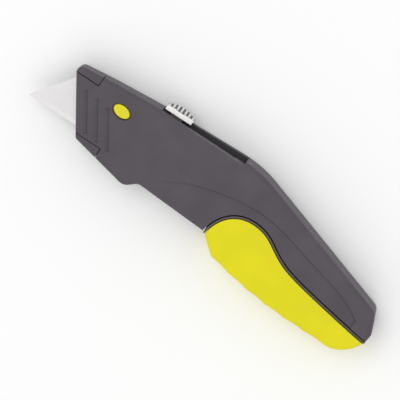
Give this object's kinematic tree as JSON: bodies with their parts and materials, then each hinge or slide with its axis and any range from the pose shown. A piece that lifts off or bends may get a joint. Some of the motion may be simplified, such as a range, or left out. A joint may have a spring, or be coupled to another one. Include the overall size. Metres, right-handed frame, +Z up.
{
  "type": "utility knife",
  "caption": "Retractable utility knife with a trapezoid blade, thumb slider, oval blade release and a swing-out magazine of spare blades under a scalloped grip.",
  "frame": {"origin": "bottom centre of the box round the knife as it lies on its far side with the blade out", "axes": "+X from the nose to the tail along the blade's slide, +Y towards the thumb slider, +Z up out of the near side"},
  "size_m": [0.188, 0.0544, 0.02],
  "materials": {
    "casing_grey": "satin powder coat, warm dark grey",
    "rim_grey": "satin, dark grey",
    "grip_yellow": "soft matt yellow",
    "button_yellow": "smooth yellow",
    "track_black": "black, matt",
    "carrier_black": "black, matt",
    "blade_steel": "ground steel",
    "guide_steel": "stamped sheet",
    "slider_chrome": "satin plated",
    "spring_steel": "drawn wire and strip",
    "screw_steel": "zinc plated"
  },
  "bodies": {
    "handle": {"front_casing": "casing_grey", "rear_casing": "casing_grey", "casing_screws": "screw_steel", "near_guide_plate": "guide_steel", "far_guide_plate": "guide_steel", "slide_track": "track_black", "button_bracket": "guide_steel", "button_spring": "spring_steel", "catch_spring": "spring_steel"},
    "carrier": {"blade_carrier": "carrier_black", "carrier_cover": "guide_steel", "cover_rivets": "screw_steel", "blade": "blade_steel", "detent_spring": "spring_steel", "slider_spring": "spring_steel", "latch_spring": "spring_steel"},
    "slider": {"thumb_slider": "slider_chrome"},
    "latch": {"blade_latch": "guide_steel"},
    "button": {"release_button": "button_yellow", "button_clip": "spring_steel"},
    "magazine": {"magazine_base": "rim_grey", "grip_overmould": "grip_yellow", "blade_tray": "guide_steel", "hinge_pin": "screw_steel", "keeper_spring": "spring_steel", "spare_blade_1": "blade_steel", "spare_blade_2": "blade_steel", "spare_blade_3": "blade_steel", "spare_blade_4": "blade_steel", "spare_blade_5": "blade_steel"}
  },
  "joints": [
    {"name": "blade_slide", "type": "slide", "parent": "handle", "child": "carrier", "axis": [1, 0, 0], "range_m": [0, 0.0285], "deforming": ["detent_spring"]},
    {"name": "slider_press", "type": "slide", "parent": "carrier", "child": "slider", "axis": [0, -1, 0], "range_m": [0, 0.0008], "stiffness_N_per_m": 800, "springref_m": -0.001, "deforming": ["slider_spring"]},
    {"name": "button_press", "type": "slide", "parent": "handle", "child": "button", "axis": [0, 0, -1], "range_m": [0, 0.001], "stiffness_N_per_m": 800, "springref_m": -0.001, "deforming": ["button_spring"]},
    {"name": "latch_press", "type": "slide", "parent": "carrier", "child": "latch", "axis": [0, 0, -1], "range_m": [0, 0.001], "stiffness_N_per_m": 300, "springref_m": -0.0005, "deforming": ["latch_spring"]},
    {"name": "magazine_swing", "type": "hinge", "parent": "handle", "child": "magazine", "pos_m": [0.01067, -0.01549, 0.01], "axis": [0, 0, -1], "range_deg": [0, 50], "deforming": ["catch_spring"]}
  ],
  "couplings": [
    {"joint": "latch_press", "follows": "button_press", "ratio": 1}
  ]
}
